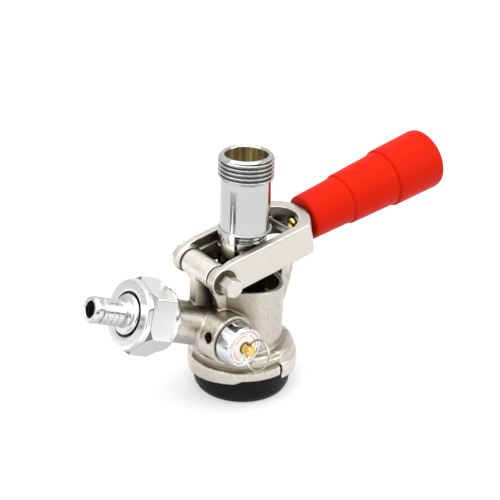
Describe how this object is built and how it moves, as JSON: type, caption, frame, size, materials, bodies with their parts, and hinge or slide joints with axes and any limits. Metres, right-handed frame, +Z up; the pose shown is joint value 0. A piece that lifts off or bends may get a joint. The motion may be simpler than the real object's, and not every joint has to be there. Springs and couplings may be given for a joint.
{
  "type": "keg coupler",
  "caption": "Keg coupler with lever-worked probe, red grip, threaded beer outlet, gas union with barbed tail, relief valve with pull ring and base dust cap.",
  "frame": {"origin": "on the probe axis, at the underside of the dust cap on which the coupler stands", "axes": "+Z up along the probe, +X towards the handle grip, gas inlet towards -X, relief valve towards -Y"},
  "size_m": [0.1751, 0.0617, 0.1049],
  "materials": {
    "nickel_casting": "satin nickel-plated casting with fine grain",
    "nickel_casting_lever": "satin nickel-plated casting, brushed faces",
    "chrome_probe": "polished chrome",
    "chrome_nut": "polished chrome, satin flats",
    "chrome_tailpiece": "polished chrome",
    "chrome_relief_cap": "polished chrome",
    "label_disc": "white printed disc",
    "nickel_wire": "nickel-plated spring wire",
    "brass_stem": "turned brass",
    "brass_rod": "turned brass",
    "steel_tube": "plain steel tube",
    "nickel_bolt": "nickel-plated steel",
    "zinc_washer": "zinc-plated steel",
    "red_grip": "satin red moulded plastic",
    "brass_insert": "knurled brass",
    "black_cap": "satin black rubber",
    "black_seal": "black rubber",
    "steel_cage": "stainless steel",
    "steel_ball": "polished stainless ball",
    "spring_steel": "spring wire"
  },
  "bodies": {
    "coupler_body": {"body_casting": "nickel_casting", "body_seal": "black_seal", "gland_o_ring": "black_seal", "gas_check_valve": "black_seal", "tailpiece_washer": "black_seal", "hose_tailpiece": "chrome_tailpiece", "prv_cap": "chrome_relief_cap", "prv_label_disc": "label_disc", "prv_spring": "spring_steel"},
    "lever": {"lever_yoke": "nickel_casting_lever", "handle_tube": "steel_tube", "hinge_bolt": "nickel_bolt", "hinge_nut": "nickel_bolt", "hinge_washers": "zinc_washer", "latch_spring": "spring_steel"},
    "pull_handle": {"latch_rod": "brass_rod", "grip_insert": "brass_insert", "handle_grip": "red_grip"},
    "probe": {"probe_tube": "chrome_probe", "probe_seal": "black_seal", "ball_retainer": "steel_cage"},
    "ball": {"check_ball": "steel_ball"},
    "relief_stem": {"prv_stem": "brass_stem", "prv_seat_seal": "black_seal"},
    "relief_ring": {"prv_pull_ring": "nickel_wire"},
    "gas_nut": {"union_nut": "chrome_nut"},
    "cap": {"dust_cap": "black_cap"}
  },
  "joints": [
    {"name": "lever_hinge", "type": "hinge", "parent": "coupler_body", "child": "lever", "pos_m": [-0.0197, 0, 0.0586], "axis": [0, 1, 0], "range_deg": [0, 17.5]},
    {"name": "probe_slide", "type": "slide", "parent": "coupler_body", "child": "probe", "axis": [0, 0, -1], "range_m": [0, 0.0062]},
    {"name": "handle_pull", "type": "slide", "parent": "lever", "child": "pull_handle", "axis": [0.9799, 0, 0.1994], "range_m": [0, 0.005], "stiffness_N_per_m": 800, "springref_m": -0.005, "deforming": ["latch_spring"]},
    {"name": "prv_pull", "type": "slide", "parent": "coupler_body", "child": "relief_stem", "axis": [0.1045, -0.9945, 0], "range_m": [0, 0.0018], "stiffness_N_per_m": 2000, "springref_m": -0.003, "deforming": ["prv_spring"]},
    {"name": "ring_swing", "type": "hinge", "parent": "relief_stem", "child": "relief_ring", "pos_m": [-0.01578, -0.02586, 0.0323], "axis": [0.4072, 0, 0.9134], "range_deg": [-70, 70]},
    {"name": "gas_nut_spin", "type": "hinge", "parent": "coupler_body", "child": "gas_nut", "pos_m": [-0.04783, 0, 0.045], "axis": [-0.9198, 0, 0.3923], "continuous": true},
    {"name": "ball_lift", "type": "slide", "parent": "probe", "child": "ball", "axis": [0, 0, 1], "range_m": [0, 0.003]},
    {"name": "cap_pull", "type": "slide", "parent": "coupler_body", "child": "cap", "axis": [0, 0, -1], "range_m": [0, 0.012]}
  ],
  "couplings": [
    {"joint": "probe_slide", "follows": "lever_hinge", "m_per_rad": 0.0199}
  ]
}
